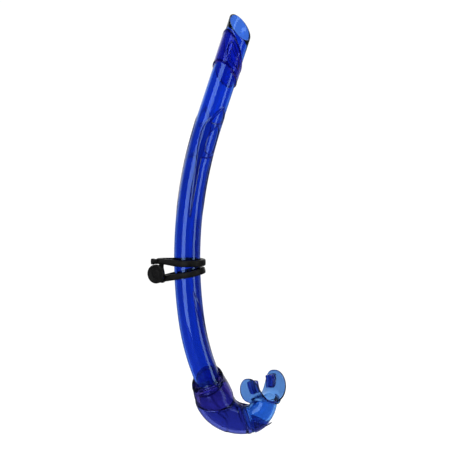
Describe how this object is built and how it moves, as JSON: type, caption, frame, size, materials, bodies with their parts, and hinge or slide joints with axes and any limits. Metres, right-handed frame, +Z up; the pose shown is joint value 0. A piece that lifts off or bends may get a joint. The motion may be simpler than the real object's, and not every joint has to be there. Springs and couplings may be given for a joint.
{
  "type": "snorkel tube",
  "caption": "Plain free-diving snorkel with a bowed clear barrel, slanted open tip, swivelling elbow, bite mouthpiece and a strap keeper that slides on the barrel.",
  "frame": {"origin": "the point of the barrel's centreline where it stands upright, inside the strap keeper", "axes": "+Z up the barrel towards the open tip, +X to the side the mouthpiece bends to, +Y square to the barrel's plane"},
  "size_m": [0.1387, 0.0508, 0.4179],
  "materials": {
    "barrel": "clear tinted, glossy",
    "trim": "clear darker tint, glossy",
    "elbow": "clear tinted silicone, glossy",
    "mouthpiece": "clear light silicone, satin",
    "tab": "firm clear silicone, satin",
    "ring": "dark, smooth",
    "keeper": "black, matt",
    "button": "black, satin"
  },
  "bodies": {
    "barrel": {"barrel_tip": "barrel", "barrel_bow": "barrel", "barrel_foot": "barrel", "tip_cuff": "trim", "tip_leaf": "trim", "barrel_trim": "trim", "retaining_ring": "ring"},
    "keeper": {"keeper_upper_loop": "keeper", "keeper_lower_loop": "keeper", "keeper_bridge": "keeper", "keeper_hook": "keeper", "keeper_stud": "keeper"},
    "button": {"keeper_button": "button"},
    "mouth_unit": {"base_cuff": "trim", "elbow": "elbow", "neck_band": "elbow", "neck_leaf": "elbow", "mouthpiece": "mouthpiece", "bite_tab_near": "tab", "bite_tab_far": "tab"}
  },
  "joints": [
    {"name": "keeper_slide", "type": "hinge", "parent": "barrel", "child": "keeper", "pos_m": [0.44, 0, 0], "axis": [0, 1, 0], "range_deg": [-4.3, 5.2]},
    {"name": "button_turn", "type": "hinge", "parent": "keeper", "child": "button", "pos_m": [-0.025, 0, -0.0135], "axis": [-0.5, -0.866, 0], "continuous": true},
    {"name": "elbow_swivel", "type": "hinge", "parent": "barrel", "child": "mouth_unit", "pos_m": [0.01529, 0, -0.10637], "axis": [-0.3338, 0, 0.9426], "continuous": true}
  ]
}
